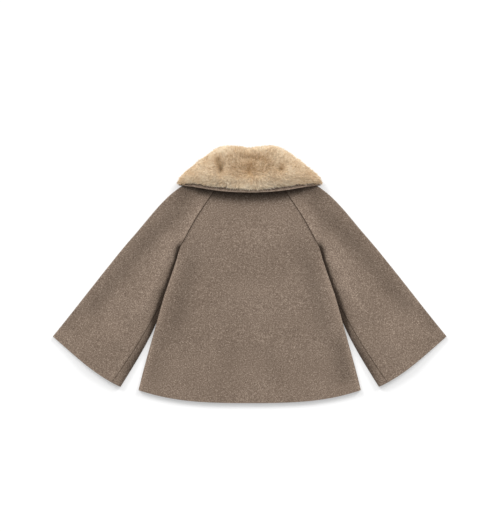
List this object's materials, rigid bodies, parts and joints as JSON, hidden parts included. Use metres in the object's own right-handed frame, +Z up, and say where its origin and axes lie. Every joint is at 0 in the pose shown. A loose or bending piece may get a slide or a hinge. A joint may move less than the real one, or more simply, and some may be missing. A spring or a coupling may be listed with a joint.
{
  "type": "jacket",
  "caption": "Short flared wool jacket with raglan sleeves and a wide fur collar, lying face down with its sleeves spread.",
  "frame": {"origin": "centre of the jacket's outline from above, on the surface it lies on", "axes": "+X towards the wearer's right sleeve, +Y towards the neck, +Z up from the surface, out of the jacket's back"},
  "size_m": [1.0226, 0.6672, 0.056],
  "materials": {
    "wool": "felted taupe wool coating with fine light and dark fibres",
    "fur": "dense soft fur, honey beige with lighter tips"
  },
  "bodies": {
    "root": {"back": "wool", "front_right": "wool", "front_left": "wool", "sleeve_back_right": "wool", "sleeve_back_left": "wool", "sleeve_front_right": "wool", "sleeve_front_left": "wool", "under_collar": "wool", "fur_collar": "fur"}
  },
  "joints": []
}
